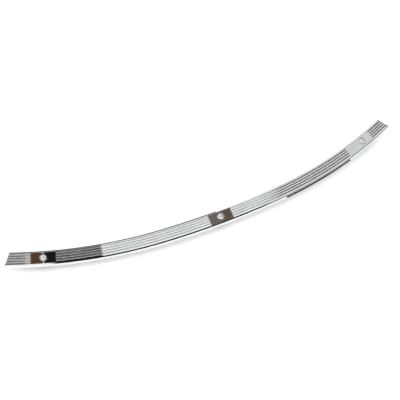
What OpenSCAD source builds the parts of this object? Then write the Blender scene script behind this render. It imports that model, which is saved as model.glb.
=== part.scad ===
// Windshield trim strip for a motorcycle fairing, with its fasteners.
//
// The bar lies on a cone, so it wraps round the nose of the fairing: a wide middle arc runs
// into a tighter arc at each end. Its face leans back, and carries four lengthwise grooves
// that stop at three plain islands. Below the face a shoulder runs into a steep skirt, and
// above it is a bevel. Each island takes a button head screw, which passes through the bar
// into a rubber well nut with a brass insert.
//
// Origin: the middle hole's axis on the bar's rear face. +X runs to the bar's right,
// +Y into the fairing and +Z up. Places along the middle arc are angles from the middle
// hole, and places along an end arc are angles from where it joins the middle arc. A side
// is -1 for the left, 0 for the middle and 1 for the right. At a hole or an end the local
// frame has x along the bar, y up across its width and z out of its face.

/* [Bar] */
// Width of the bar across its face
bar_w = 22.4; // [22:0.1:28]
// Thickness of the bar
bar_t = 6; // [6:0.5:9]
// How far the bar's middle lies below the line of its holes
face_drop = 1.3; // [0:0.1:1.4]
// Width of the bevel along the top edge
bevel_w = 2; // [0.5:0.1:2]
// Depth of that bevel
bevel_d = 2.4; // [0.5:0.1:3]
// Width of the shoulder below the face
shoulder_w = 2.1; // [1:0.1:2.1]
// Depth of the shoulder
shoulder_d = 0.9; // [0.3:0.1:1.2]
// Width of the steep skirt below the shoulder
skirt_w = 1.9; // [0.5:0.1:1.9]
// Depth of the skirt
skirt_d = 4.6; // [2:0.1:4.6]
// Angle of the slanted end cuts
end_slant = 18; // [0:1:25]

/* [Bow] */
// Radius of the middle arc
mid_r = 1210; // [900:10:2000]
// Radius of the end arcs
end_r = 650; // [500:5:850]
// Angle of an end arc, from its join to the bar's end
end_angle = 20.1; // [19.5:0.1:22]
// How far the face leans back from lying flat to facing up
lean = 26; // [0:1:60]

/* [Grooves] */
// Number of lengthwise grooves
groove_count = 4; // [1:1:4]
// Distance from one groove to the next
groove_pitch = 3.7; // [3:0.1:3.7]
// Radius of the grooves' round bottom
groove_r = 1.15; // [0.6:0.05:1.3]
// Depth of the grooves
groove_d = 1; // [0.5:0.1:1.1]

/* [Islands] */
// Place of an outer hole on its end arc
hole_angle = 15.5; // [14.5:0.1:16]
// Plain face on each side of an outer hole
island_angle = 1.6; // [1:0.1:2]
// Plain face on the inner side of the right hole
island_long_angle = 2.9; // [1.6:0.1:4]
// Plain face on each side of the middle hole
mid_island_angle = 0.85; // [0.5:0.05:1.5]

/* [Screw seats] */
// Radius of the clearance hole for a screw
hole_r = 2.75; // [2.7:0.05:3]
// Radius of the counterbore for its head
seat_r = 5; // [5:0.05:6]
// Depth of the counterbore
seat_d = 2.6; // [1.5:0.1:3]

/* [Screws] */
// Radius of the thread
screw_r = 2.5; // [2.4:0.05:2.5]
// Length under the head
screw_len = 20; // [18:1:20]
// Radius of the button head
head_r = 4.75; // [4:0.05:4.8]
// Height of the button head
head_h = 2.75; // [2.5:0.05:3]
// Radius of the head's dome
dome_r = 5.6; // [5.4:0.1:7]
// Height of the head's straight rim
rim_h = 0.5; // [0.3:0.1:0.8]
// Size of the hex socket across its flats
socket_af = 3; // [2.5:0.5:3]
// Depth of the hex socket
socket_d = 1.7; // [1:0.1:2]

/* [Washers] */
// Radius of the plastic washer under the head
washer_r = 4.8; // [4.5:0.05:4.8]
// Radius of its hole
washer_hole_r = 2.6; // [2.6:0.05:2.8]
// Its thickness
washer_t = 0.8; // [0.5:0.1:1]
// Radius of the rubber spacer behind the bar
spacer_r = 6.5; // [5:0.1:8]
// Its thickness
spacer_t = 1; // [0.5:0.1:2]

/* [Well nuts] */
// Radius of the sleeve, which fits a hole in the fairing
sleeve_r = 4.75; // [4.7:0.05:6]
// Length of the sleeve behind its flange
sleeve_len = 14; // [13:0.5:16]
// Radius of the flange
flange_r = 6.75; // [6:0.05:8]
// Thickness of the flange
flange_t = 1.2; // [0.8:0.1:2]
// Radius of the brass insert
insert_r = 3.5; // [3.2:0.1:3.6]
// Radius of the insert's thread bore
insert_hole_r = 2.55; // [2.55:0.01:2.6]
// Length of the insert
insert_len = 7; // [5:0.5:8]
// Radius of the insert's rear collar
collar_r = 4.1; // [3.8:0.1:4.2]
// Thickness of that collar
collar_t = 1; // [0.5:0.1:1.5]

/* [Foam] */
// Width of the foam strips
foam_w = 14; // [8:0.5:18]
// Angle between a foam strip and an outer hole
foam_gap_angle = 0.9; // [0.7:0.1:2]
// Angle between a foam strip and the middle hole
foam_mid_gap_angle = 0.5; // [0.4:0.1:1]
// Angle between a foam strip and the bar's end
foam_end_angle = 0.9; // [0.8:0.1:2]

/* [Hidden] */

arc_fn = 720;    // facets in a full turn of the long arcs
round_fn = 48;   // facets in a full turn of small round parts
film = 0.05;     // glue film and bond line between pieces that are stuck together
over = 1;        // how far a cutter runs past the face that it cuts

// The middle arc's half angle is one whose sine, 0.07584, and cosine, 0.99712, are short
// decimals, so that the arcs meet in exactly the same plane
mid_angle = asin(0.07584);
rest_angle = 5.5;   // how far the middle arc is drawn before it is trimmed at its joins
over_angle = 0.9;   // how far an end arc is drawn past its slanted end cut
join_room = 40;     // reach of the cutter that trims the middle arc

top_edge = face_drop - bar_w / 2;
low_edge = face_drop + bar_w / 2;
stack_t = spacer_t + flange_t;
seat_z = bar_t - seat_d;
head_z = seat_z + washer_t;
flange_z = -film - stack_t;
sleeve_end_z = flange_z - sleeve_len;
slant_room = tan(end_slant) * bar_w + over;

// Turns and moves its children so that they start from the join of an end arc,
// with the arc's centre as their origin
module end_arc_frame(side) {
    translate([0, mid_r, 0])
        rotate([0, 0, side * mid_angle])
            translate([0, end_r - mid_r, 0])
                children();
}

// Puts its children in the local frame at an angle along an end arc
module at_angle(side, angle) {
    end_arc_frame(side)
        rotate([0, 0, side * angle])
            translate([0, -end_r, 0])
                rotate([lean, 0, 0])
                    children();
}

// Puts its children in the local frame of a hole
module at_hole(side) {
    if (side == 0)
        rotate([lean, 0, 0]) children();
    else
        at_angle(side, hole_angle) children();
}

// Sweeps a cross-section along an arc of radius r. In the cross-section x runs down the
// bar's width and y out of its face.
module sweep(r, from, to) {
    rotate_extrude(angle = to - from, start = from - 90, $fn = arc_fn)
        translate([r, 0])
            rotate(-lean)
                children();
}

module sweep_middle(from, to) {
    translate([0, mid_r, 0])
        sweep(mid_r, from, to) children();
}

module sweep_end(side, from, to) {
    end_arc_frame(side)
        sweep(end_r, side > 0 ? from : -to, side > 0 ? to : -from) children();
}

// Clears what lies beyond the join of the middle arc with an end arc
module join_cutter(side) {
    end_arc_frame(side)
        translate([side > 0 ? 0 : -2 * join_room, -end_r - join_room, -join_room])
            cube([2 * join_room, 2 * join_room, 2 * join_room]);
}

module plain_section() {
    polygon([
        [top_edge, 0],
        [low_edge, 0],
        [low_edge, bar_t - shoulder_d - skirt_d],
        [low_edge - skirt_w, bar_t - shoulder_d],
        [low_edge - skirt_w - shoulder_w, bar_t],
        [top_edge + bevel_w, bar_t],
        [top_edge, bar_t - bevel_d]
    ]);
}

module grooved_section() {
    difference() {
        plain_section();
        for (i = [0 : groove_count - 1])
            translate([(i - (groove_count - 1) / 2) * groove_pitch, bar_t + groove_r - groove_d])
                circle(r = groove_r, $fn = round_fn);
    }
}

// Clears what lies beyond a slanted end cut
module end_cutter(side) {
    at_angle(side, end_angle)
        rotate([0, 0, side * end_slant])
            translate([side * slant_room, 0, 0])
                cube([2 * slant_room, 3 * bar_w, 4 * bar_t], center = true);
}

module screw_seat(side) {
    at_hole(side) {
        translate([0, 0, -over])
            cylinder(r = hole_r, h = bar_t + 2 * over, $fn = round_fn);
        translate([0, 0, seat_z])
            cylinder(r = seat_r, h = seat_d + over, $fn = round_fn);
    }
}

// Middle arc of the bar, with its island between two grooved stretches
module bar_middle() {
    difference() {
        union() {
            sweep_middle(-rest_angle, -mid_island_angle) grooved_section();
            sweep_middle(-mid_island_angle, mid_island_angle) plain_section();
            sweep_middle(mid_island_angle, rest_angle) grooved_section();
        }
        join_cutter(-1);
        join_cutter(1);
    }
}

// End arc of the bar, with its island from one angle to another
module bar_end(side, island_from, island_to) {
    sweep_end(side, 0, island_from) grooved_section();
    sweep_end(side, island_from, island_to) plain_section();
    sweep_end(side, island_to, end_angle + over_angle) grooved_section();
}

module trim_bar() {
    color("gainsboro")
        difference() {
            union() {
                bar_middle();
                bar_end(-1, hole_angle - island_angle, hole_angle + island_angle);
                bar_end(1, hole_angle - island_long_angle, hole_angle + island_angle);
            }
            for (side = [-1, 1])
                end_cutter(side);
            for (side = [-1 : 1])
                screw_seat(side);
        }
}

// Button head screw with a hex socket
module screw(side) {
    color("silver")
        at_hole(side)
            translate([0, 0, head_z])
                difference() {
                    union() {
                        translate([0, 0, -screw_len])
                            cylinder(r = screw_r, h = screw_len + rim_h, $fn = round_fn);
                        intersection() {
                            translate([0, 0, rim_h - sqrt(pow(dome_r, 2) - pow(head_r, 2))])
                                sphere(r = dome_r, $fn = 2 * round_fn);
                            cylinder(r = head_r, h = head_h, $fn = round_fn);
                        }
                    }
                    translate([0, 0, head_h - socket_d])
                        cylinder(r = socket_af / sqrt(3), h = socket_d + over, $fn = 6);
                }
}

// Ring between two heights, centred on a hole
module ring(side, outer_r, inner_r, from_z, to_z) {
    at_hole(side)
        translate([0, 0, from_z])
            difference() {
                cylinder(r = outer_r, h = to_z - from_z, $fn = round_fn);
                translate([0, 0, -over])
                    cylinder(r = inner_r, h = to_z - from_z + 2 * over, $fn = round_fn);
            }
}

module head_washer(side) {
    color("whitesmoke")
        ring(side, washer_r, washer_hole_r, seat_z, head_z);
}

module spacer(side) {
    color("dimgray")
        ring(side, spacer_r, hole_r, -film - spacer_t, -film);
}

// Rubber sleeve of a well nut, with a cavity for its insert
module nut_sleeve(side) {
    color("black")
        at_hole(side)
            difference() {
                union() {
                    translate([0, 0, flange_z])
                        cylinder(r = flange_r, h = flange_t, $fn = round_fn);
                    translate([0, 0, sleeve_end_z])
                        cylinder(r = sleeve_r, h = sleeve_len + flange_t / 2, $fn = round_fn);
                }
                translate([0, 0, sleeve_end_z - over])
                    cylinder(r = hole_r, h = sleeve_len + flange_t + 2 * over, $fn = round_fn);
                translate([0, 0, sleeve_end_z - over])
                    cylinder(r = insert_r + film, h = insert_len + film + over, $fn = round_fn);
                translate([0, 0, sleeve_end_z - over])
                    cylinder(r = collar_r + film, h = collar_t + film + over, $fn = round_fn);
            }
}

module nut_insert(side) {
    color("goldenrod")
        at_hole(side)
            translate([0, 0, sleeve_end_z])
                difference() {
                    union() {
                        cylinder(r = insert_r, h = insert_len, $fn = round_fn);
                        cylinder(r = collar_r, h = collar_t, $fn = round_fn);
                    }
                    translate([0, 0, -over])
                        cylinder(r = insert_hole_r, h = insert_len + 2 * over, $fn = round_fn);
                }
}

// Cross-section of a foam strip on the bar's rear face, as thick as the spacer and the
// flange together
module foam_section() {
    translate([-foam_w / 2, -film - stack_t])
        square([foam_w, stack_t]);
}

module foam_outer(side) {
    color("darkslategray")
        sweep_end(side, hole_angle + foam_gap_angle, end_angle - foam_end_angle) foam_section();
}

// Foam strip from the middle hole to an outer one, across the join of the two arcs
module foam_inner(side) {
    color("darkslategray")
        union() {
            difference() {
                sweep_middle(
                    side > 0 ? foam_mid_gap_angle : -rest_angle,
                    side > 0 ? rest_angle : -foam_mid_gap_angle
                ) foam_section();
                join_cutter(side);
            }
            sweep_end(side, 0, hole_angle - foam_gap_angle) foam_section();
        }
}

trim_bar();
screw(-1);  // screw_left
screw(0);  // screw_centre
screw(1);  // screw_right
head_washer(-1);  // head_washer_left
head_washer(0);  // head_washer_centre
head_washer(1);  // head_washer_right
spacer(-1);  // spacer_left
spacer(0);  // spacer_centre
spacer(1);  // spacer_right
nut_sleeve(-1);  // nut_sleeve_left
nut_sleeve(0);  // nut_sleeve_centre
nut_sleeve(1);  // nut_sleeve_right
nut_insert(-1);  // nut_insert_left
nut_insert(0);  // nut_insert_centre
nut_insert(1);  // nut_insert_right
foam_outer(-1);  // foam_left_outer
foam_inner(-1);  // foam_left_inner
foam_inner(1);  // foam_right_inner
foam_outer(1);  // foam_right_outer
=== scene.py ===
"""Windshield trim strip of a motorcycle fairing: the looks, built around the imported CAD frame."""

import math

import bpy
import numpy as np
from mathutils import Matrix, Vector


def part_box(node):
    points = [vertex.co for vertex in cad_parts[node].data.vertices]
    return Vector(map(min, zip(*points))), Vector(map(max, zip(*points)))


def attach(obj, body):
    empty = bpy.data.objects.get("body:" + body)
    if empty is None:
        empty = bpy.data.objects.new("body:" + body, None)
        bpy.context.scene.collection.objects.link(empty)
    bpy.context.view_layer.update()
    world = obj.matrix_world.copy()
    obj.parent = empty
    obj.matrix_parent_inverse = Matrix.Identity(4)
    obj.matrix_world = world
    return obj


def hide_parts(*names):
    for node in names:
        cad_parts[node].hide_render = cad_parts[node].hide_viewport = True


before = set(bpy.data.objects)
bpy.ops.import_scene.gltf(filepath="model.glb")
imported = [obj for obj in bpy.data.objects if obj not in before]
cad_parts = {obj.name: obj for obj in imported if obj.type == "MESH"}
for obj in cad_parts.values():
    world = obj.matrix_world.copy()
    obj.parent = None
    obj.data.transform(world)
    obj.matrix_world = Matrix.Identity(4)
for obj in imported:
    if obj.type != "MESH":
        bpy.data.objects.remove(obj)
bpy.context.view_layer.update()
SIDES = {"left": -1, "centre": 0, "right": 1}

# The bar and its fasteners, in millimetres and radians, as the CAD source has them. S is a
# length along the bar from its middle, V runs up across its face and N and Z out of it.
MM = 0.001
BAR_W = 22.4
BAR_T = 6.0
MID_R = 1210.0
END_R = 650.0
MID_ANGLE = math.asin(0.07584)
JOIN_S = MID_R * MID_ANGLE
END_S = JOIN_S + END_R * math.radians(20.1)
HOLE_S = JOIN_S + END_R * math.radians(15.5)
LEAN = math.radians(26)
END_SLANT = math.radians(18)
FACE_DROP = 1.3
BEVEL_W, BEVEL_D = 2.0, 2.4
SHOULDER_W, SHOULDER_D = 2.1, 0.9
SKIRT_W, SKIRT_D = 1.9, 4.6
GROOVE_PITCH = 3.7
GROOVE_V = [(i - 1.5) * GROOVE_PITCH for i in range(4)]
GROOVE_R = 1.15
GROOVE_D = 1.0
GROOVE_CENTRE = GROOVE_R - GROOVE_D
GROOVE_HALF = math.sqrt(GROOVE_R**2 - GROOVE_CENTRE**2)
ISLAND = END_R * math.radians(1.6)
ISLAND_LONG = END_R * math.radians(2.9)
MID_ISLAND = MID_R * math.radians(0.85)
HOLE_R = 2.75
SEAT_R = 5.0
SEAT_Z = 3.4
HEAD_Z = 4.2
SCREW_R = 2.5
SCREW_LEN = 20.0
HEAD_R = 4.75
HEAD_H = 2.75
HEAD_TOP = HEAD_Z + HEAD_H
DOME_R = 5.6
RIM_H = 0.5
SOCKET_AF = 3.0
SOCKET_D = 1.7
WASHER_R = 4.8
WASHER_HOLE_R = 2.6
FILM = 0.05
SPACER_R = 6.5
SPACER_T = 1.0
SLEEVE_R = 4.75
SLEEVE_LEN = 14.0
FLANGE_R = 6.75
FLANGE_T = 1.2
INSERT_R = 3.5
INSERT_HOLE_R = 2.55
INSERT_LEN = 7.0
COLLAR_R = 4.1
COLLAR_T = 1.0
FLANGE_Z = -FILM - SPACER_T - FLANGE_T
SLEEVE_END_Z = FLANGE_Z - SLEEVE_LEN
FOAM_W = 14.0
FOAM_GAP = END_R * math.radians(0.9)
FOAM_MID_GAP = MID_R * math.radians(0.5)


def bar_frame(s):
    """Rear face centre and the directions along, up across and out of the face, at a place s."""
    a, side = abs(s), math.copysign(1, s)
    if a <= JOIN_S:
        phi = s / MID_R
        x, y = MID_R * math.sin(phi), MID_R * (1 - math.cos(phi))
    else:
        phi = side * (MID_ANGLE + (a - JOIN_S) / END_R)
        x = side * (MID_R - END_R) * math.sin(MID_ANGLE) + END_R * math.sin(phi)
        y = MID_R - (MID_R - END_R) * math.cos(MID_ANGLE) - END_R * math.cos(phi)
    sp, cp = math.sin(phi), math.cos(phi)
    sl, cl = math.sin(LEAN), math.cos(LEAN)
    return (
        np.array([x, y, 0.0]),
        np.array([cp, sp, 0.0]),
        np.array([-sp * cl, cp * cl, sl]),
        np.array([sp * sl, -cp * sl, cl]),
    )


def on_bar(s, v, n):
    """Point of the bar in metres, with v up across the bar and n out of its face in millimetres."""
    c, _, u, out = bar_frame(s)
    return (c + v * u + n * out) * MM


def hole_matrix(side):
    """Local frame of a hole, in metres."""
    c, t, u, out = bar_frame(side * HOLE_S)
    m = np.eye(4)
    m[:3, 0], m[:3, 1], m[:3, 2], m[:3, 3] = t, u, out, c * MM
    return m


def new_object(name, points, faces, body, material, nodes, recess=None):
    """Smooth mesh from points in metres, which rides on a body and stands for CAD nodes.

    recess holds, for each point, how much painted shade of a narrow gap it carries.
    """
    mesh = bpy.data.meshes.new(name)
    mesh.from_pydata([tuple(p) for p in points], [], faces)
    mesh.update()
    if recess is not None:
        layer = mesh.attributes.new("recess", "FLOAT", "POINT")
        layer.data.foreach_set("value", recess)
    o = bpy.data.objects.new(name, mesh)
    bpy.context.scene.collection.objects.link(o)
    mesh.shade_smooth()
    mesh.materials.append(material)
    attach(o, body)
    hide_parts(*nodes)
    return o


# ---------------------------------------------------------------- materials


class Nodes:
    """Short way to make shader nodes and to link them."""

    def __init__(self, tree):
        self.tree = tree

    def make(self, kind, **values):
        node = self.tree.nodes.new(kind)
        for key, value in values.items():
            setattr(node, key, value)
        return node

    def link(self, a, b):
        self.tree.links.new(a, b)

    def math(self, operation, *values):
        node = self.make("ShaderNodeMath", operation=operation)
        for socket, value in zip(node.inputs, values):
            if isinstance(value, (int, float)):
                socket.default_value = value
            else:
                self.link(value, socket)
        return node.outputs[0]

    def ramp(self, value, lo, hi, to_lo=0.0, to_hi=1.0, smooth=False):
        node = self.make("ShaderNodeMapRange", clamp=True)
        if smooth:
            node.interpolation_type = "SMOOTHSTEP"
        self.link(value, node.inputs["Value"])
        keys = ("From Min", "From Max", "To Min", "To Max")
        for key, number in zip(keys, (lo, hi, to_lo, to_hi)):
            node.inputs[key].default_value = number
        return node.outputs["Result"]

    def mix(self, factor, a, b):
        node = self.make("ShaderNodeMix", data_type="RGBA")
        self.link(factor, node.inputs["Factor"])
        colours = [socket for socket in node.inputs if socket.type == "RGBA"]
        for socket, value in zip(colours, (a, b)):
            if isinstance(value, tuple):
                socket.default_value = (*value, 1)
            else:
                self.link(value, socket)
        return next(socket for socket in node.outputs if socket.type == "RGBA")

    def noise(self, vector, scale, detail=4.0, roughness=0.5):
        node = self.make("ShaderNodeTexNoise")
        node.inputs["Scale"].default_value = scale
        node.inputs["Detail"].default_value = detail
        node.inputs["Roughness"].default_value = roughness
        self.link(vector, node.inputs["Vector"])
        return node.outputs["Fac"]


def new_material(name, metallic=0.0, **sockets):
    """Principled material with its constants on the shader's own sockets.

    Gives the material, its nodes, its shader and the object's own coordinates.
    """
    material = bpy.data.materials.new(name)
    material.use_nodes = True
    n = Nodes(material.node_tree)
    shader = material.node_tree.nodes["Principled BSDF"]
    shader.inputs["Metallic"].default_value = metallic
    for key, value in sockets.items():
        shader.inputs[key.replace("_", " ")].default_value = value
    vector = n.make("ShaderNodeTexCoord").outputs["Object"]
    return material, n, shader, vector


# Colour of the painted shade in narrow gaps and hollows, and the roughness that goes with it
RECESS_SHADE = (0.05, 0.047, 0.043)
RECESS_ROUGH = 0.5


def with_recess_shade(n, colour, rough):
    """Darker with painted shade, and duller, where the mesh's recess attribute says so."""
    recess = n.make("ShaderNodeAttribute", attribute_name="recess").outputs["Fac"]
    dull = n.math("MULTIPLY", recess, RECESS_ROUGH)
    return n.mix(recess, colour, RECESS_SHADE), n.math("MAXIMUM", rough, dull)


def finish_material(n, shader, colour, rough, height, strength, distance):
    """Links the colour and the roughness, and a bump made from a height."""
    n.link(colour, shader.inputs["Base Color"])
    n.link(rough, shader.inputs["Roughness"])
    bump = n.make("ShaderNodeBump")
    bump.inputs["Strength"].default_value = strength
    bump.inputs["Distance"].default_value = distance
    n.link(height, bump.inputs["Height"])
    n.link(bump.outputs["Normal"], shader.inputs["Normal"])


def chrome_material():
    material, n, shader, vector = new_material("chrome_plate", metallic=1.0)
    haze = n.noise(vector, scale=45.0, detail=3.0)
    specks = n.noise(vector, scale=2600.0, detail=2.0)
    colour = n.mix(n.ramp(haze, 0.35, 0.7), (0.86, 0.865, 0.87), (0.80, 0.805, 0.81))
    hazy = n.ramp(haze, 0.35, 0.75, to_lo=0.006, to_hi=0.022)
    rough = n.math("ADD", hazy, n.ramp(specks, 0.68, 0.8, to_lo=0.0, to_hi=0.05))
    # painted shade down the counterbores, from the mesh's recess attribute
    colour, rough = with_recess_shade(n, colour, rough)
    waves = n.noise(vector, scale=60.0, detail=1.0)
    finish_material(n, shader, colour, rough, waves, strength=0.02, distance=0.0005)
    return material


def steel_material():
    material, n, shader, vector = new_material("screw_steel", metallic=0.4)
    grain = n.noise(vector, scale=900.0, detail=3.0)
    colour = n.mix(grain, (0.84, 0.835, 0.83), (0.74, 0.74, 0.74))
    rough = n.ramp(grain, 0.3, 0.7, to_lo=0.32, to_hi=0.42)
    # painted shade at the head's rim, in the socket and on the shank, from the recess attribute
    colour, rough = with_recess_shade(n, colour, rough)
    fine = n.noise(vector, scale=3000.0, detail=2.0)
    finish_material(n, shader, colour, rough, fine, strength=0.1, distance=0.0001)
    return material


def brass_material():
    material, n, shader, vector = new_material("turned_brass", metallic=1.0)
    stain = n.noise(vector, scale=420.0, detail=4.0)
    colour = n.mix(n.ramp(stain, 0.35, 0.7), (0.80, 0.60, 0.27), (0.50, 0.34, 0.14))
    rough = n.ramp(stain, 0.3, 0.75, to_lo=0.2, to_hi=0.45)
    marks = n.noise(vector, scale=5000.0, detail=2.0)
    finish_material(n, shader, colour, rough, marks, strength=0.3, distance=0.0001)
    return material


def nylon_material():
    material, n, shader, vector = new_material("natural_nylon", Subsurface_Weight=0.15)
    cloud = n.noise(vector, scale=500.0, detail=3.0)
    colour = n.mix(cloud, (0.86, 0.85, 0.80), (0.76, 0.74, 0.68))
    rough = n.ramp(cloud, 0.3, 0.7, to_lo=0.42, to_hi=0.58)
    fine = n.noise(vector, scale=2500.0)
    finish_material(n, shader, colour, rough, fine, strength=0.2, distance=0.0001)
    return material


def rubber_material(name, dark, light, scale):
    """Rubber whose bloom has patches of a given scale, with a grain nine times finer."""
    material, n, shader, vector = new_material(name, Specular_IOR_Level=0.35)
    bloom = n.noise(vector, scale, detail=5.0, roughness=0.6)
    colour = n.mix(n.ramp(bloom, 0.4, 0.75), dark, light)
    rough = n.ramp(bloom, 0.3, 0.75, to_lo=0.5, to_hi=0.85)
    grain = n.noise(vector, scale=9 * scale, detail=3.0)
    finish_material(n, shader, colour, rough, grain, strength=0.35, distance=0.0002)
    return material


def foam_material():
    material, n, shader, vector = new_material("closed_cell_foam", Specular_IOR_Level=0.2)
    cells = n.make("ShaderNodeTexVoronoi")
    cells.inputs["Scale"].default_value = 1500.0
    n.link(vector, cells.inputs["Vector"])
    tone = n.noise(vector, scale=90.0, detail=4.0)
    colour = n.mix(n.ramp(tone, 0.3, 0.7), (0.035, 0.035, 0.038), (0.075, 0.075, 0.078))
    rough = n.ramp(tone, 0.3, 0.7, to_lo=0.82, to_hi=0.95)
    pores = cells.outputs["Distance"]
    finish_material(n, shader, colour, rough, pores, strength=0.8, distance=0.0003)
    return material


CHROME = chrome_material()
STEEL = steel_material()
BRASS = brass_material()
NYLON = nylon_material()
SPACER_RUBBER = rubber_material(
    "spacer_rubber", dark=(0.035, 0.035, 0.036), light=(0.09, 0.088, 0.085), scale=350.0
)
NUT_RUBBER = rubber_material(
    "nut_rubber", dark=(0.018, 0.018, 0.018), light=(0.055, 0.054, 0.052), scale=260.0
)
FOAM = foam_material()

# ---------------------------------------------------------------- the bar

PAST_END = 20.0  # how far the outer grooves are drawn past the bar's ends
# Places along the bar at which a run of grooves starts and ends
GROOVE_SPANS = [
    (-END_S - PAST_END, -HOLE_S - ISLAND),
    (-HOLE_S + ISLAND, -MID_ISLAND),
    (MID_ISLAND, HOLE_S - ISLAND_LONG),
    (HOLE_S + ISLAND, END_S + PAST_END),
]
RIM = 0.14  # half width of the softened rim of a groove
LIP_R = 0.15  # radius of the rounded edge of a counterbore
PATCH_S = 6.6  # half size of the square of the face, round a hole, that is meshed in rings
FINE_STEP = 0.9  # longest gap between sections near a hole
COARSE_STEP = 2.4  # longest gap between sections elsewhere
END_STEPS = 28  # sections over the round end of a groove
END_GUARD = 0.3  # gap between that end and the section beyond it
SAME_S = 1e-4  # places along the bar that are closer than this are one
SLANT_RUN = 30.0  # length at each end over which the sections turn to the slanted cut
CORNER_STEPS = 8  # facets in the blend at a corner of the section
GUARD = 0.05  # distance from a blend to the point that keeps a flat's shading true
GUARD_SHARE = 0.04  # largest share of the flat's width that this distance takes up
GUARD_RIM = 0.04  # the same distance at a groove's rim
REACH_SHARE = 0.45  # largest share of a side that a rounded corner takes up
CLOSE_V = 0.01  # smallest gap between two lines across the face
TOL = 0.001  # room for rounding where two places are compared
END_CLEAR = 0.4  # room at each end for the sections that round off its edges
# Rounding of the bar's end edges: distance from the end, and how far the section is drawn in
END_ROUND = ((0.0, 0.3), (0.09, 0.09), (0.3, 0.0))
# Lines over one half of a groove, as shares of its half width
GROOVE_LINES = (-1.0, -0.96, -0.9, -0.8, -0.66, -0.5, -0.32, -0.12)
# Lines over the rear face, between its two edges
REAR_LINES = (9.2, 6.4, 2.4, -2.4, -6.4, -11.6)
# Painted shade in the gap round each screw, by side
SEAT_SHADE = {-1: 0.9, 0: 0.85, 1: 0.3}


def groove_depth(d):
    """Depth of a round-bottomed groove with a softened rim, at a distance d from its middle."""
    if d >= GROOVE_HALF + RIM:
        return 0.0
    lip = GROOVE_HALF - RIM
    wall = math.sqrt(GROOVE_R**2 - min(d, lip) ** 2) - GROOVE_CENTRE
    share = max(0.0, d - lip) / (2 * RIM)
    return wall * (1 - share) ** 2


LOW_EDGE = -BAR_W / 2 - FACE_DROP
TOP_EDGE = BAR_W / 2 - FACE_DROP
# Corners of the front, from the rear lower edge to the rear top one: place across the bar,
# height and blend radius
CORNERS = [
    (LOW_EDGE, 0.0, 0.12),
    (LOW_EDGE, BAR_T - SHOULDER_D - SKIRT_D, 0.2),
    (LOW_EDGE + SKIRT_W, BAR_T - SHOULDER_D, 0.5),
    (LOW_EDGE + SKIRT_W + SHOULDER_W, BAR_T, 0.7),
    (TOP_EDGE - BEVEL_W, BAR_T, 0.7),
    (TOP_EDGE, BAR_T - BEVEL_D, 0.8),
    (TOP_EDGE, 0.0, 0.3),
]


def blended(corners, steps):
    """Open line through the corners of a section, each rounded off with its own radius.

    A guard point stands before and after each blend.
    """
    out = []
    for i, (v, n, radius) in enumerate(corners):
        here = np.array([v, n])
        back = np.array(corners[i - 1][:2]) if i else np.array([corners[-1][0], n])
        ahead = np.array(corners[(i + 1) % len(corners)][:2])
        a, b = back - here, ahead - here
        la, lb = np.linalg.norm(a), np.linalg.norm(b)
        a, b = a / la, b / lb
        half = 0.5 * math.acos(max(-1.0, min(1.0, a @ b)))
        reach = min(radius / math.tan(half), REACH_SHARE * la, REACH_SHARE * lb)
        radius = reach * math.tan(half)
        middle = here + (a + b) / np.linalg.norm(a + b) * radius / math.sin(half)
        start, end = here + a * reach - middle, here + b * reach - middle
        turn = math.atan2(start[0] * end[1] - start[1] * end[0], start @ end)
        out.append(tuple(here + a * (reach + min(GUARD, GUARD_SHARE * la))))
        for k in range(steps + 1):
            c, d = math.cos(turn * k / steps), math.sin(turn * k / steps)
            arm = (c * start[0] - d * start[1], d * start[0] + c * start[1])
            out.append(tuple(middle + arm))
        out.append(tuple(here + b * (reach + min(GUARD, GUARD_SHARE * lb))))
    return out


def grooved(s, v):
    """Depth of the grooves at a place on the face."""
    for a, b in GROOVE_SPANS:
        if a < s < b:
            along = max(a + GROOVE_R - s, s - b + GROOVE_R, 0)
            return max(groove_depth(math.hypot(along, v - c)) for c in GROOVE_V)
    return 0.0


def stations():
    """Lengths along the bar at which its section is drawn, closer where a groove ends."""
    marks = {-END_S, END_S, -JOIN_S, JOIN_S}
    for side in (-1, 0, 1):
        marks.update((side * HOLE_S - PATCH_S, side * HOLE_S + PATCH_S))
    for a, b in GROOVE_SPANS:
        for edge, inward in ((a, 1), (b, -1)):
            if abs(edge) < END_S:
                for k in range(END_STEPS + 1):
                    share = 1 - math.cos(math.pi * k / END_STEPS)
                    marks.add(edge + inward * GROOVE_R * share)
                marks.update((edge - inward * END_GUARD, edge + inward * 2 * GROOVE_R))
    marks = sorted(marks)
    out = [marks[0]]
    for m in marks[1:]:
        gap = m - out[-1]
        if gap < SAME_S:
            continue
        middle = 0.5 * (m + out[-1])
        near_hole = min(abs(middle - side * HOLE_S) for side in (-1, 0, 1)) < PATCH_S
        steps = max(1, math.ceil(gap / (FINE_STEP if near_hole else COARSE_STEP)))
        out += [out[-1] + gap * (k + 1) / steps for k in range(steps)]
    return out


def front_lines():
    """Outline of the front without its grooves, with lines placed closer in the grooves."""
    half = GROOVE_HALF
    lines = set()
    for c in GROOVE_V:
        for f in GROOVE_LINES:
            lines.update((c + f * half, c - f * half))
        for rim in (-RIM, -RIM / 2, 0.0, RIM / 2, RIM, RIM + GUARD_RIM):
            lines.update((c + half + rim, c - half - rim))
        lines.add(c)
    lines.add(0.5 * (GROOVE_V[-1] + half + TOP_EDGE - BEVEL_W))
    outline = blended(CORNERS, CORNER_STEPS)
    top = max(i for i, (v, _) in enumerate(outline) if v < min(lines))
    out = outline[: top + 1]
    for v in sorted(lines):
        if v - out[-1][0] > CLOSE_V:
            out.append((v, BAR_T))
    return out + outline[top + 1 :]


def slanted(s, v):
    """Place along the bar once its ends are cut at a slant, which the last sections share out."""
    start = END_S - SLANT_RUN
    share = max(0.0, abs(s) - start) / (END_S - start)
    return s - math.copysign(1, s) * share * v * math.tan(END_SLANT)


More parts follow.
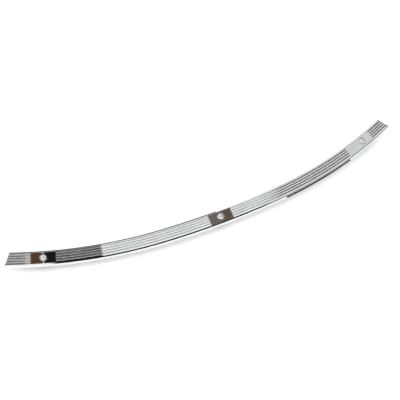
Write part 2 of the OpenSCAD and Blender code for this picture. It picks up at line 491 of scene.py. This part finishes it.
def zip_loops(a, b):
    """Triangles between two closed loops of (angle, index), each in order of its angle."""
    faces, i, j = [], 0, 0
    while i < len(a) or j < len(b):
        next_a = a[i + 1][0] if i + 1 < len(a) else a[0][0] + math.tau
        next_b = b[j + 1][0] if j + 1 < len(b) else b[0][0] + math.tau
        ia, ib = a[i % len(a)][1], b[j % len(b)][1]
        if j >= len(b) or (i < len(a) and next_a <= next_b):
            face = (ia, a[(i + 1) % len(a)][1], ib)
            i += 1
        else:
            face = (ia, b[(j + 1) % len(b)][1], ib)
            j += 1
        faces.append(face)
    return faces


def section(outline, s, inset):
    """Points of a closed outline at a place along the bar, with the grooves cut into its face.

    inset draws the section in from all its edges.
    """
    loop = [(v, n - grooved(s, v) if n > BAR_T - TOL else n) for v, n in outline]
    if not inset:
        return loop
    shrink = 1 - 2 * inset / BAR_W
    drawn_in = []
    for v, n in loop:
        lift = min(inset, BAR_T / 2 - n) if n < BAR_T / 2 else -inset
        drawn_in.append(((v + FACE_DROP) * shrink - FACE_DROP, n + lift))
    return drawn_in


def patch_columns(values, start):
    """First and last column of the square round a hole, for columns numbered from start."""
    inside = [start + i for i, v in enumerate(values) if abs(v) < PATCH_S]
    return min(inside), max(inside)


# Rings round a hole, as radius and height, from the face down the counterbore and the bore
SEAT_RINGS = [(6.0, BAR_T), (5.75, BAR_T), (5.55, BAR_T)]
for turn in np.radians([22, 45, 67, 90]):
    SEAT_RINGS.append(
        (SEAT_R + LIP_R * (1 - math.sin(turn)), BAR_T - LIP_R * (1 - math.cos(turn)))
    )
SEAT_RINGS += [(SEAT_R, 4.6), (SEAT_R, SEAT_Z + 0.2)]
SEAT_RINGS += [(SEAT_R - 0.06, SEAT_Z + 0.06), (SEAT_R - 0.2, SEAT_Z)]
SEAT_RINGS += [(4.2, SEAT_Z), (HOLE_R + 0.15, SEAT_Z)]
SEAT_RINGS += [(HOLE_R, SEAT_Z - 0.15), (HOLE_R, 1.6), (HOLE_R, 0.2)]
REAR_RING_R = HOLE_R + 0.2
REAR_RING_STEPS = 48


def build_bar():
    """The bar: sections joined from end to end, with rings of facets down its three holes."""
    front = front_lines()
    outline = front + [(v, 0.0) for v in REAR_LINES]
    points, faces = [], []
    index = {}  # number of the point at a row and a column
    deep = {}   # painted shade of the points down in the counterbores

    rows = [(-END_S + d, inset) for d, inset in END_ROUND]
    rows += [(s, 0.0) for s in stations() if abs(s) < END_S - END_CLEAR]
    rows += [(END_S - d, inset) for d, inset in reversed(END_ROUND)]
    count = len(outline)
    for row, (s, inset) in enumerate(rows):
        for col, (v, n) in enumerate(section(outline, s, inset)):
            index[row, col] = len(points)
            points.append(on_bar(slanted(s, v), v, n))

    in_face = [v if n > BAR_T - TOL else math.inf for v, n in front]
    front_lo, front_hi = patch_columns(in_face, 0)
    rear_lo, rear_hi = patch_columns(REAR_LINES, len(front))
    holes = []
    for side in (-1, 0, 1):
        reach = PATCH_S + TOL
        inside = [r for r, (s, _) in enumerate(rows) if abs(s - side * HOLE_S) < reach]
        holes.append((side, min(inside), max(inside)))

    def skipped(row, col):
        """Whether a facet lies in the square round a hole, on the face or behind."""
        in_patch = front_lo <= col < front_hi or rear_lo <= col < rear_hi
        return in_patch and any(r0 <= row < r1 for _, r0, r1 in holes)

    for row in range(len(rows) - 1):
        for col in range(count):
            nxt = (col + 1) % count
            if not skipped(row, col):
                near = (index[row, col], index[row + 1, col])
                far = (index[row + 1, nxt], index[row, nxt])
                faces.append(near + far)
    faces.append([index[0, c] for c in range(count)])
    faces.append([index[len(rows) - 1, c] for c in reversed(range(count))])

    for side, r0, r1 in holes:
        c, t, u, out = bar_frame(side * HOLE_S)

        def border(lo, hi):
            """Loop of (angle, index) round the edge of the square between two columns."""
            loop = [index[r, lo] for r in range(r0, r1)]
            loop += [index[r1, k] for k in range(lo, hi)]
            loop += [index[r, hi] for r in range(r1, r0, -1)]
            loop += [index[r0, k] for k in range(hi, lo, -1)]
            placed = []
            for i in loop:
                p = points[i] / MM - c
                placed.append((math.atan2(p @ u, p @ t) % math.tau, i))
            return sorted(placed)

        def ring(angles, radius, height):
            """Loop of new points round the hole. In the two faces it follows the bar's curve."""
            loop = []
            for a in angles:
                x, y = radius * math.cos(a), radius * math.sin(a)
                loop.append((a, len(points)))
                if height in (0.0, BAR_T):
                    points.append(on_bar(side * HOLE_S + x, y, height))
                else:
                    points.append((c + x * t + y * u + height * out) * MM)
            return loop

        def bridge(a, b):
            """Facets between two rings of as many points."""
            for i in range(len(a)):
                j = (i + 1) % len(a)
                faces.append((a[i][1], a[j][1], b[j][1], b[i][1]))

        loop = border(front_lo, front_hi)
        angles = [a for a, _ in loop]
        for radius, height in SEAT_RINGS:
            nxt = ring(angles, radius, height)
            bridge(loop, nxt)
            loop = nxt
            # Points down in a counterbore carry painted shade
            if height < BAR_T - 0.5 * LIP_R:
                deep.update((i, SEAT_SHADE[side]) for _, i in nxt)
        rear_angles = [math.tau * k / REAR_RING_STEPS for k in range(REAR_RING_STEPS)]
        inner = ring(rear_angles, REAR_RING_R, 0.0)
        faces.extend(zip_loops(loop, inner))
        faces.extend(zip_loops(inner, border(rear_lo, rear_hi)))
    recess = np.zeros(len(points))
    for i, share in deep.items():
        recess[i] = share
    new_object(
        "chrome_bar", points, faces, "trim", CHROME, ["trim_bar"], recess
    )


build_bar()

# ---------------------------------------------------------------- fasteners


def turned(
    name, side, profile, body, material, node, shape=None, segments=96, painted_shading=None
):
    """Piece turned about a hole's axis from a closed profile of (radius, height), in millimetres.

    A profile that starts and ends on the axis makes a solid piece, and any other a ring.
    shape changes the (radius, height) of a point for its angle, and the last argument gives each
    point its share of painted shade.
    """
    m = hole_matrix(side)
    points, faces, rings, recess = [], [], [], []
    for r, z in profile:
        # share of painted shade for this point
        darkening = painted_shading(r, z) if painted_shading else 0.0
        if r == 0.0:
            rings.append([len(points)] * segments)
            points.append((m @ np.array([0, 0, z * MM, 1]))[:3])
            recess.append(darkening)
            continue
        ring = []
        for k in range(segments):
            a = math.tau * k / segments
            rr, zz = shape(a, r, z) if shape else (r, z)
            spot = np.array([rr * math.cos(a) * MM, rr * math.sin(a) * MM, zz * MM, 1])
            ring.append(len(points))
            points.append((m @ spot)[:3])
            recess.append(darkening)
        rings.append(ring)
    solid = profile[0][0] == 0.0
    pairs = zip(rings, rings[1:]) if solid else zip(rings, rings[1:] + rings[:1])
    for a, b in pairs:
        for k in range(segments):
            j = (k + 1) % segments
            face = []
            for i in (a[k], a[j], b[j], b[k]):
                if i not in face:
                    face.append(i)
            faces.append(face)
    new_object(name, points, faces, body, material, [node], recess)


def eased(corners, radius=None, steps=4):
    """Closed profile whose corners are rounded off by a radius, or each by one of its own."""
    out = []
    for i, corner in enumerate(corners):
        own = corner[2] if len(corner) > 2 else radius
        here = np.array(corner[:2])
        back = np.array(corners[i - 1][:2])
        ahead = np.array(corners[(i + 1) % len(corners)][:2])
        a, b = back - here, ahead - here
        la, lb = np.linalg.norm(a), np.linalg.norm(b)
        reach = min(own, REACH_SHARE * la, REACH_SHARE * lb)
        a, b = here + a / la * reach, here + b / lb * reach
        for k in range(steps + 1):
            t = k / steps
            out.append(tuple(a * (1 - t) ** 2 + here * 2 * t * (1 - t) + b * t**2))
    return out


THREAD_PITCH = 0.8
THREAD_DEPTH = 0.42
THREAD_STEPS = 8  # rings of facets for each turn of the thread
THREAD_SLOPE = 1.25  # steepness of the thread's flanks, which leaves a narrow flat root
THREAD_R = SCREW_R - 0.02
THREAD_START = 1.0  # plain length under the head
THREAD_FADE = 0.8  # length over which the thread then reaches its depth
TIP_LEN = 0.8  # length of the chamfer at the tip
TIP_SLOPE = 0.75  # how fast the chamfer narrows the tip
TIP_R = 1.4  # radius of the tip's flat end
SHANK_R = SCREW_R - 0.06
SHANK_LIFT = 0.02  # height of the thread's first ring over the tip
SHANK_ROOM = 0.3  # how much shorter than the screw its threaded rings are
DOME_STEPS = 18  # rings of facets over the head's dome
SOCKET_RIM = 0.1  # width of the chamfer round the socket
SOCKET_DEEP = 0.5  # how far below its flats' foot the socket may still be six-sided
SOCKET_MIN_R = 0.9  # the drill point below the socket's flats is narrower than this
SCREW_SHADE = 0.3  # painted shade on a screw's shank and at the foot of its socket
SOCKET_SHADE_DEPTH = 0.6  # depth in the socket at which the painted shade is full
RIM_SHADE_R = 4.05  # radius on the head from which painted shade builds up
RIM_SHADE_W = 0.35  # width over which it does
WASHER_EDGE_R = 0.18
SPACER_EDGE_R = 0.25
INSERT_EDGE_R = 0.05
OVAL = 0.006  # unevenness of moulded rubber, as a share of its radius
OVAL_LOBES = 3
OVAL_TWIST = 0.4  # how far the lobes turn, in radians for each millimetre of height
OVAL_R = HOLE_R + 0.4  # the bores are narrower than this and stay true
KNURLS = 36
KNURL_DEPTH = 0.07


def threaded(a, r, z):
    """Right-hand thread, which fades out under the head and at the chamfered tip."""
    if r != SHANK_R or z > HEAD_Z:
        return r, z
    depth_in = HEAD_Z - z
    phase = (z / THREAD_PITCH - a / math.tau) % 1.0
    cut = THREAD_DEPTH * min(1.0, THREAD_SLOPE * (1 - abs(2 * phase - 1)))
    fade = min(1.0, max(0.0, (depth_in - THREAD_START) / THREAD_FADE))
    tip = max(0.0, TIP_LEN - (SCREW_LEN - depth_in))
    return min(THREAD_R - cut * fade, THREAD_R - tip * TIP_SLOPE), z


def socketed(a, r, z):
    """Turns the radii that stand for the socket's flats into a hexagon."""
    in_socket = SOCKET_MIN_R <= r <= SOCKET_AF / 2 + TOL
    if not in_socket or z < HEAD_TOP - SOCKET_D - SOCKET_DEEP:
        return threaded(a, r, z)
    flat = (a % (math.pi / 3)) - math.pi / 6
    return r / math.cos(flat), min(z, HEAD_TOP)


def head_shade(side):
    """Painted shade round the rim of a screw's head, in its socket and on its shank."""

    def share(r, z):
        if z < HEAD_Z:
            return SCREW_SHADE
        if r < SOCKET_AF / 2 + SOCKET_RIM:
            return SCREW_SHADE * min(1.0, max(0.0, HEAD_TOP - z) / SOCKET_SHADE_DEPTH)
        return SEAT_SHADE[side] * min(1.0, max(0.0, (r - RIM_SHADE_R) / RIM_SHADE_W))

    return share


def screw_profile():
    """Radius and height from the tip up the shank, over the dome and down into the socket."""
    top, foot = HEAD_TOP, HEAD_TOP - SOCKET_D
    base = RIM_H - math.sqrt(DOME_R**2 - HEAD_R**2)
    profile = [(0.0, HEAD_Z - SCREW_LEN), (TIP_R, HEAD_Z - SCREW_LEN)]
    run = SCREW_LEN - SHANK_ROOM
    steps = round(run / THREAD_PITCH * THREAD_STEPS)
    for k in range(steps + 1):
        profile.append((SHANK_R, HEAD_Z - SCREW_LEN + SHANK_LIFT + run * k / steps))
    profile += [(SCREW_R + 0.05, HEAD_Z - 0.1), (SCREW_R + 0.25, HEAD_Z)]
    profile += [(HEAD_R - 0.3, HEAD_Z), (HEAD_R - 0.08, HEAD_Z + 0.05)]
    profile += [(HEAD_R, HEAD_Z + 0.16), (HEAD_R, HEAD_Z + RIM_H - 0.08)]
    flat_r = math.sqrt(DOME_R**2 - (HEAD_H - base) ** 2)
    start = math.asin(min(1.0, (HEAD_R - 0.03) / DOME_R))
    end = math.asin((flat_r + 0.12) / DOME_R)
    for k in range(DOME_STEPS + 1):
        q = start + (end - start) * k / DOME_STEPS
        profile.append((DOME_R * math.sin(q), HEAD_Z + base + DOME_R * math.cos(q)))
    half = SOCKET_AF / 2
    profile += [(flat_r - 0.05, top - 0.015), (flat_r - 0.2, top)]
    profile += [(2.05, top), (1.85, top - 0.03), (1.78, top - 0.1)]
    profile += [(half, top - 0.24), (half - 0.02, top - 0.32)]
    profile += [(half - 0.03, foot + 0.12), (half - 0.12, foot)]
    profile += [(0.8, foot - 0.22), (0.3, foot - 0.42), (0.0, foot - 0.45)]
    return profile


def oval(a, r, z):
    """Slight unevenness of a moulded rubber part."""
    swell = 1 - OVAL * (1 + math.sin(OVAL_LOBES * a + OVAL_TWIST * z)) / 2
    return (r * swell, z) if r > OVAL_R else (r, z)


def knurled(a, r, z):
    """Shallow knurl round the collar of an insert."""
    if r < COLLAR_R - 0.05:
        return r, z
    return r - KNURL_DEPTH * (1 - math.cos(KNURLS * a)) / 2, z


def washer_profile():
    """Flat nylon ring with rolled edges."""
    corners = [
        (WASHER_HOLE_R, SEAT_Z),
        (WASHER_R, SEAT_Z),
        (WASHER_R, HEAD_Z),
        (WASHER_HOLE_R, HEAD_Z),
    ]
    return eased(corners, WASHER_EDGE_R)


def spacer_profile():
    """Flat rubber ring with rolled edges."""
    rear = -FILM - SPACER_T
    corners = [(HOLE_R, rear), (SPACER_R, rear), (SPACER_R, -FILM), (HOLE_R, -FILM)]
    return eased(corners, SPACER_EDGE_R)


def sleeve_profile():
    """Sleeve of a well nut, with a cavity that fits its insert and a flange in front."""
    end, cavity = SLEEVE_END_Z, INSERT_R + FILM
    waist = SLEEVE_R - 0.12
    corners = [
        (HOLE_R, FLANGE_Z + FLANGE_T, 0.2),
        (HOLE_R, end + INSERT_LEN + FILM, 0.05),
        (cavity, end + INSERT_LEN + FILM, 0.05),
        (cavity, end + COLLAR_T + FILM, 0.05),
        (COLLAR_R + FILM, end + COLLAR_T + FILM, 0.05),
        (COLLAR_R + FILM, end, 0.1),
        (SLEEVE_R - 0.15, end, 0.25),
        (SLEEVE_R, end + 2.2, 0.6),
        (SLEEVE_R, end + 8.2, 0.5),
        (waist, end + 9.0, 0.5),
        (waist, FLANGE_Z - 0.9, 0.3),
        (SLEEVE_R + 0.1, FLANGE_Z, 0.35),
        (FLANGE_R - 0.12, FLANGE_Z, 0.3),
        (FLANGE_R, FLANGE_Z + 0.45, 0.3),
        (FLANGE_R - 0.25, FLANGE_Z + FLANGE_T, 0.3),
    ]
    return eased(corners)


def insert_profile():
    """Brass insert with a chamfered bore and a collar at its rear end."""
    end, front = SLEEVE_END_Z, SLEEVE_END_Z + INSERT_LEN
    corners = [
        (INSERT_HOLE_R + 0.25, front, 0.02),
        (INSERT_HOLE_R, front - 0.25, 0.02),
        (INSERT_HOLE_R, end + 0.3, 0.02),
        (INSERT_HOLE_R + 0.3, end, 0.02),
        (COLLAR_R - 0.15, end),
        (COLLAR_R, end + 0.15),
        (COLLAR_R, end + COLLAR_T - 0.15),
        (COLLAR_R - 0.15, end + COLLAR_T),
        (INSERT_R, end + COLLAR_T),
        (INSERT_R, front - 0.3, 0.1),
        (INSERT_R - 0.25, front),
    ]
    return eased(corners, INSERT_EDGE_R, steps=2)


for label, side in SIDES.items():
    turned(
        f"screw_{label}_detail",
        side,
        screw_profile(),
        f"screw_{label}",
        STEEL,
        f"screw_{label}",
        socketed,
        segments=72,
        # painted shade at the head's rim, in its socket and on its shank
        painted_shading=head_shade(side),
    )
    turned(
        f"head_washer_{label}_detail",
        side,
        washer_profile(),
        f"washer_{label}",
        NYLON,
        f"head_washer_{label}",
    )
    turned(
        f"spacer_{label}_detail",
        side,
        spacer_profile(),
        "trim",
        SPACER_RUBBER,
        f"spacer_{label}",
        oval,
    )
    turned(
        f"nut_sleeve_{label}_detail",
        side,
        sleeve_profile(),
        "trim",
        NUT_RUBBER,
        f"nut_sleeve_{label}",
        oval,
    )
    turned(
        f"nut_insert_{label}_detail",
        side,
        insert_profile(),
        "trim",
        BRASS,
        f"nut_insert_{label}",
        knurled,
        segments=144,
    )

# ---------------------------------------------------------------- foam strips

FOAM_CORNER_STEPS = 4
FOAM_SIDE_LINES = 5  # lines over each side of a strip's section, between its corners
FOAM_LINE_ROOM = 0.05  # share of a side that its lines keep clear at each corner
FOAM_STEP = 2.0  # length of a facet along a strip
FOAM_MIN_STEPS = 8
FOAM_EDGE = 0.4  # points this close to a long edge or to the rear are cut unevenly
FOAM_SWELL = 0.05  # half of the unevenness of the rear
FOAM_CUT = 0.12  # how far a long edge is drawn in on average
FOAM_RAGGED = 0.06  # half of its unevenness
FOAM_REAR_Z = -1.0  # points below this height belong to the rear
FOAM_FRONT_SHARE = 0.2  # how much less the glued front is rounded at a strip's ends
# Rounding of a strip's two ends: distance from the end, and how far the section is drawn in
FOAM_CAPS = [(0.0, 0.35), (0.12, 0.1), (0.35, 0.0)]


def foam_profile():
    """Place across the bar and height round a strip's section."""
    top, bottom = -FILM, FLANGE_Z
    half = FOAM_W / 2
    corners = [(-half, bottom, 0.3), (half, bottom, 0.3), (half, top, 0.12), (-half, top, 0.12)]
    rounded = eased(corners, steps=FOAM_CORNER_STEPS)
    profile = []
    for i, (v, n, _) in enumerate(corners):
        first = i * (FOAM_CORNER_STEPS + 1)
        profile += rounded[first : first + FOAM_CORNER_STEPS + 1]
        after = corners[(i + 1) % len(corners)]
        for k in range(1, FOAM_SIDE_LINES + 1):
            t = FOAM_LINE_ROOM + (1 - 2 * FOAM_LINE_ROOM) * k / (FOAM_SIDE_LINES + 1)
            profile.append((v + (after[0] - v) * t, n + (after[1] - n) * t))
    return profile


def foam_strip(name, start, end):
    """Strip of knife-cut sheet foam that is stuck behind the bar between two places along it."""
    profile = foam_profile()
    cap = FOAM_CAPS[-1][0]
    length = end - start
    count = max(FOAM_MIN_STEPS, round(length / FOAM_STEP))
    places = [(start + d, inset) for d, inset in FOAM_CAPS]
    places += [(start + cap + (length - 2 * cap) * k / count, 0.0) for k in range(1, count)]
    places += [(end - d, inset) for d, inset in reversed(FOAM_CAPS)]
    points, faces = [], []
    for s, inset in places:
        for v, n in profile:
            ragged = FOAM_RAGGED * (math.sin(1.7 * s + 2.1 * n) + math.sin(0.61 * s + 1.3))
            swell = 0.0
            if n < FLANGE_Z + FOAM_EDGE:
                swell = FOAM_SWELL * (1 + math.sin(0.83 * s + 1.9 * v))
            if abs(v) > FOAM_W / 2 - FOAM_EDGE:
                v -= math.copysign(FOAM_CUT + ragged + inset, v)
            drawn_in = inset if n < FOAM_REAR_Z else -inset * FOAM_FRONT_SHARE
            points.append(on_bar(s, v, n + swell + drawn_in))
    size = len(profile)
    for row in range(len(places) - 1):
        for k in range(size):
            j = (k + 1) % size
            near, far = row * size, (row + 1) * size
            faces.append((near + k, near + j, far + j, far + k))
    faces.append(list(range(size))[::-1])
    faces.append([(len(places) - 1) * size + k for k in range(size)])
    strip = new_object(f"{name}_strip", points, faces, "trim", FOAM, [name])


foam_strip("foam_left_outer", -END_S + FOAM_GAP, -HOLE_S - FOAM_GAP)
foam_strip("foam_left_inner", -HOLE_S + FOAM_GAP, -FOAM_MID_GAP)
foam_strip("foam_right_inner", FOAM_MID_GAP, HOLE_S - FOAM_GAP)
foam_strip("foam_right_outer", HOLE_S + FOAM_GAP, END_S - FOAM_GAP)

# ---------------------------------------------------------------- camera, light and floor

# The photo's view, as it was fitted to the bar's outline, its grooves and its screws
AZIMUTH, ELEVATION = math.radians(25.03), math.radians(51.48)
DISTANCE = 1.8
FOCAL_PX, FRAME_PX, SENSOR = 1217.0, 400.0, 36.0
# The camera looks past a point in the middle of the face: its place across the bar in
# millimetres, and how far to its right and above it the view's axis runs, in metres
AIM_V = -0.9
ASIDE, ABOVE = -0.030798, 0.024873
ca, sa = math.cos(AZIMUTH), math.sin(AZIMUTH)
ce, se = math.cos(ELEVATION), math.sin(ELEVATION)
RIGHT = Vector((ca, -sa, 0))
FORWARD = Vector((sa * ce, ca * ce, -se))
UP = Vector((sa * se, ca * se, ce))
aim = Vector(on_bar(0.0, AIM_V, BAR_T))
camera_data = bpy.data.cameras.new("camera")
camera_data.sensor_width = SENSOR
camera_data.lens = FOCAL_PX / FRAME_PX * SENSOR
camera_data.clip_start, camera_data.clip_end = 0.1, 50
camera = bpy.data.objects.new("camera", camera_data)
bpy.context.scene.collection.objects.link(camera)
EYE = aim + ASIDE * RIGHT + ABOVE * UP - DISTANCE * FORWARD
facing = Matrix((RIGHT, UP, -FORWARD)).transposed().to_4x4()
camera.matrix_world = Matrix.Translation(EYE) @ facing
bpy.context.scene.camera = camera

FLOOR_Z = min(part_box(n)[0].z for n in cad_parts)
SPREAD = 12.0  # half the floor's side, in metres


def paper_material():
    material, n, shader, vector = new_material("paper_floor", Specular_IOR_Level=0.0)
    cloud = n.noise(vector, scale=3.0)
    colour = n.mix(cloud, (0.93, 0.93, 0.93), (0.91, 0.91, 0.91))
    rough = n.ramp(n.noise(vector, scale=5.0), 0, 1, to_lo=0.9, to_hi=1.0)
    grain = n.noise(vector, scale=900.0)
    finish_material(n, shader, colour, rough, grain, strength=0.02, distance=0.0001)
    return material


floor_mesh = bpy.data.meshes.new("floor")
corners = ((-SPREAD, -SPREAD), (SPREAD, -SPREAD), (SPREAD, SPREAD), (-SPREAD, SPREAD))
floor_mesh.from_pydata([(x, y, FLOOR_Z) for x, y in corners], [], [(0, 1, 2, 3)])
floor = bpy.data.objects.new("floor", floor_mesh)
floor_mesh.materials.append(paper_material())
bpy.context.scene.collection.objects.link(floor)


def mirrored(s, tip):
    """Sideways part and tilt of what a facet at a place along the bar mirrors to the camera.

    tip is how far the facet is tipped down from the face. The tilt is how far a direction
    leans from straight up towards the front. Both are in degrees.
    """
    _, _, u, out = bar_frame(s)
    q = math.radians(tip)
    normal = math.cos(q) * out - math.sin(q) * u
    look = on_bar(s, 0, BAR_T) - np.array(EYE)
    look /= np.linalg.norm(look)
    d = look - 2 * (look @ normal) * normal
    return d[0], math.degrees(math.atan2(-d[1], d[2]))


# Tips of the facets from which the edge of a card is drawn, and the tilts that it spans
EDGE_TIPS = (-50, -42, -34, -26, -18, -10, 0, 10, 20, 32, 45, 60, 72)
TILT_FROM, TILT_TO = -90.0, 175.0


def edge_curve(n, tilt_share, s):
    """Sideways direction in which the facets at a place along the bar look, for each tilt."""
    node = n.make("ShaderNodeFloatCurve")
    curve = node.mapping.curves[0]
    knots = []
    for tip in EDGE_TIPS:
        x, tilt = mirrored(s, tip)
        knots.append(((tilt - TILT_FROM) / (TILT_TO - TILT_FROM), (x + 1) / 2))
    curve.points[0].location, curve.points[1].location = knots[0], knots[-1]
    for knot in knots[1:-1]:
        curve.points.new(*knot)
    node.mapping.update()
    n.link(tilt_share, node.inputs["Value"])
    return node.outputs[0]


SKY = (1.0, 1.0, 1.0)
BLACK = (0.012, 0.011, 0.011)
# Cards: from, softness, to and softness along the bar in millimetres, the same in degrees of
# tilt, and the colour. None leaves an end open. A later card covers an earlier one.
CARDS = [
    # The left end's face, the dark stretch inside the left island, and the shoulder
    ((None, 0, -184, 3), (-2, 3, 50, 4), BLACK),
    ((-249, 6, -184, 3), (2, 3, 80, 4), BLACK),
    ((-254, 8, 85, 28), (40, 4, 92, 4), BLACK),
    # The left island: beige, brown and a thin white line
    ((-293.5, 2.0, -285.9, 0.8), (6, 3, 24, 3), (0.42, 0.38, 0.33)),
    ((-285.9, 0.6, -268, 0.6), (2, 4, 28, 4), (0.10, 0.054, 0.028)),
    ((-268.3, 0.25, -267.1, 0.25), (8, 2, 24, 2), (0.8, 0.8, 0.8)),
    # The middle island, browner on its right
    ((-17.9, 0.6, 17.9, 0.6), (6, 4, 30, 4), (0.16, 0.14, 0.13)),
    ((2.0, 9, 17.9, 0.6), (6, 4, 30, 4), (0.125, 0.095, 0.07)),
    # The right half's grooves and edges, with a grey strip in the shoulder
    ((82, 26, None, 0), (-72, 4, 5, 3), BLACK),
    ((82, 26, None, 0), (-150, 4, -92, 4), BLACK),
    ((82, 26, None, 0), (23, 3, 130, 3), BLACK),
    ((82, 26, None, 0), (61, 2, 71, 2), (0.45, 0.45, 0.45)),
    # The right island
    ((234.5, 0.7, 286, 0.7), (3, 3, 25, 3), (0.72, 0.72, 0.715)),
]
FLOOR_LIGHT = 1.35  # strength of the light that falls on everything but the mirrors


def build_world():
    """Pale studio whose sky holds the cards that the chrome mirrors.

    A card is placed by the stretch of the bar whose facets, at each tilt, mirror it.
    """
    world = bpy.data.worlds.new("studio")
    bpy.context.scene.world = world
    world.use_nodes = True
    n = Nodes(world.node_tree)
    world.node_tree.nodes.clear()
    direction = n.make("ShaderNodeTexCoord").outputs["Generated"]
    split = n.make("ShaderNodeSeparateXYZ")
    n.link(direction, split.inputs[0])
    across, depth, height = split.outputs
    lean = n.math("ARCTAN2", n.math("MULTIPLY", depth, -1.0), height)
    tilt = n.math("MULTIPLY", lean, 180 / math.pi)
    tilt_share = n.ramp(tilt, TILT_FROM, TILT_TO)
    across_share = n.math("MULTIPLY_ADD", across, 0.5, 0.5)

    def band(lo, lo_soft, hi, hi_soft):
        """1 between two tilts and 0 outside them."""
        inside = n.ramp(tilt, lo - lo_soft, lo + lo_soft, smooth=True)
        below = n.ramp(tilt, hi - hi_soft, hi + hi_soft, to_lo=1.0, to_hi=0.0, smooth=True)
        return n.math("MULTIPLY", inside, below)

    def rise(place, soft):
        """From 0 to 1 across the directions that a place along the bar mirrors."""
        node = n.make("ShaderNodeMapRange", clamp=True, interpolation_type="SMOOTHSTEP")
        n.link(across_share, node.inputs["Value"])
        n.link(edge_curve(n, tilt_share, place - soft), node.inputs["From Min"])
        n.link(edge_curve(n, tilt_share, place + soft), node.inputs["From Max"])
        return node.outputs["Result"]

    def stretch(lo, lo_soft, hi, hi_soft):
        """1 between two places along the bar and 0 outside them."""
        mask = None
        if lo is not None:
            mask = rise(lo, lo_soft)
        if hi is not None:
            ending = n.math("SUBTRACT", 1.0, rise(hi, hi_soft))
            mask = ending if mask is None else n.math("MULTIPLY", mask, ending)
        return mask

    colour = SKY
    for card_along, card_tilt, shade in CARDS:
        mask = n.math("MULTIPLY", band(*card_tilt), stretch(*card_along))
        colour = n.mix(mask, colour, shade)
    path = n.make("ShaderNodeLightPath")
    mirror_side = n.make("ShaderNodeBackground")
    n.link(colour, mirror_side.inputs["Color"])
    plain = n.make("ShaderNodeBackground")
    plain.inputs["Color"].default_value = (1, 1, 1, 1)
    plain.inputs["Strength"].default_value = FLOOR_LIGHT
    both = n.make("ShaderNodeMixShader")
    n.link(path.outputs["Is Glossy Ray"], both.inputs[0])
    n.link(plain.outputs[0], both.inputs[1])
    n.link(mirror_side.outputs[0], both.inputs[2])
    n.link(both.outputs[0], n.make("ShaderNodeOutputWorld").inputs[0])


build_world()

FLAG_STEPS = 40
FLOOR_MM = FLOOR_Z / MM


def cloth_material():
    material, n, shader, vector = new_material("flag_cloth", Specular_IOR_Level=0.1)
    weave = n.noise(vector, scale=300.0)
    colour = n.mix(weave, (0.02, 0.02, 0.02), (0.03, 0.03, 0.03))
    rough = n.ramp(weave, 0, 1, to_lo=0.8, to_hi=0.9)
    finish_material(n, shader, colour, rough, weave, strength=0.1, distance=0.0001)
    return material


CLOTH = cloth_material()


def flag(name, start, end, near, far):
    """Black card that follows the bar between two places along it and that only mirrors see.

    near and far are its two long edges, each as a distance behind the bar and a height.
    """
    points, faces = [], []
    for k in range(FLAG_STEPS + 1):
        c, t, _, _ = bar_frame(start + (end - start) * k / FLAG_STEPS)
        back = np.array([-t[1], t[0], 0.0])
        for away, high in (near, far):
            points.append(tuple((c + back * away + np.array([0, 0, high])) * MM))
    for k in range(FLAG_STEPS):
        faces.append((2 * k, 2 * k + 1, 2 * k + 3, 2 * k + 2))
    mesh = bpy.data.meshes.new(name)
    mesh.from_pydata(points, [], faces)
    card = bpy.data.objects.new(name, mesh)
    bpy.context.scene.collection.objects.link(card)
    mesh.materials.append(CLOTH)
    card.visible_camera = card.visible_diffuse = False
    card.visible_shadow = card.visible_transmission = False


# One stands behind the left half, for its bevel, and one lies in front of the right half, for
# its lower edge
flag("back_flag", -345.0, 12.0, near=(60.0, FLOOR_MM + 1), far=(60.0, 38.0))
flag("floor_flag", 114.0, 240.0, near=(-12.0, FLOOR_MM + 0.5), far=(-34.0, FLOOR_MM + 0.5))

SOFT_BOX_SIZE = (1.6, 1.2)
SOFT_BOX_AT = (-0.5, -0.3, 1.5)
SOFT_BOX_POWER = 4.0
light_data = bpy.data.lights.new("soft_box", "AREA")
light_data.shape = "RECTANGLE"
light_data.size, light_data.size_y = SOFT_BOX_SIZE
light_data.energy = SOFT_BOX_POWER
light = bpy.data.objects.new("soft_box", light_data)
light.location = SOFT_BOX_AT
light.rotation_euler = (-light.location).to_track_quat("-Z", "Y").to_euler()
light.visible_glossy = False
bpy.context.scene.collection.objects.link(light)
bpy.context.scene.view_settings.view_transform = "Standard"
